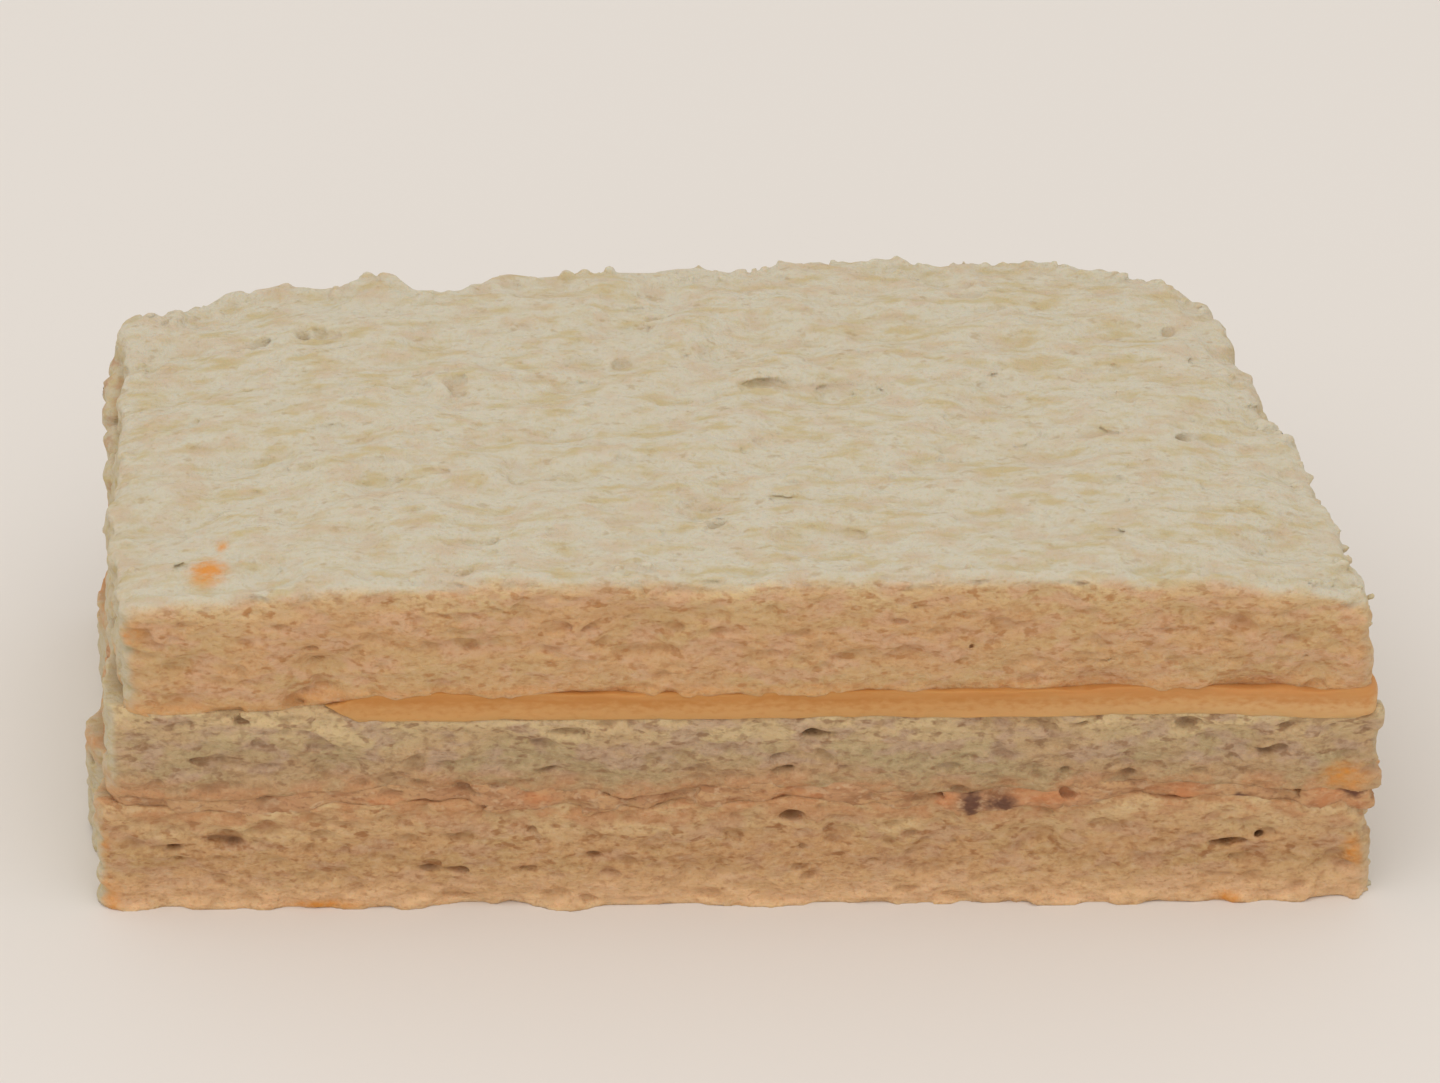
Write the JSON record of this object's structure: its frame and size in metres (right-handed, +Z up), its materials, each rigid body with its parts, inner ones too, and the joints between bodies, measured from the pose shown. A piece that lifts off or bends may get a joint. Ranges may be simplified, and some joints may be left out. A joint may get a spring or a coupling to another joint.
{
  "type": "tuna and cheese sandwich",
  "caption": "Crustless oblong sandwich of white bread layers, cut straight along the front, with a cheese slice and a thin tuna filling between them. Lies flat to be served or eaten.",
  "frame": {"origin": "middle of the base of the sandwich's box, on the surface it lies on", "axes": "+X to the right along the long cut front, +Y from the cut front to the loaf's back edge, +Z up through the layers"},
  "size_m": [0.1128, 0.0586, 0.0341],
  "materials": {
    "white_crumb": "matt, open white crumb",
    "cut_crumb": "matt, knife-cut crumb",
    "cheese": "satin, smooth processed cheese",
    "tuna": "moist, flaky fish"
  },
  "bodies": {
    "root": {"bottom_slice": "cut_crumb", "tuna_filling": "tuna", "middle_slice": "cut_crumb", "cheese_slice": "cheese", "top_slice": "white_crumb"}
  },
  "joints": []
}
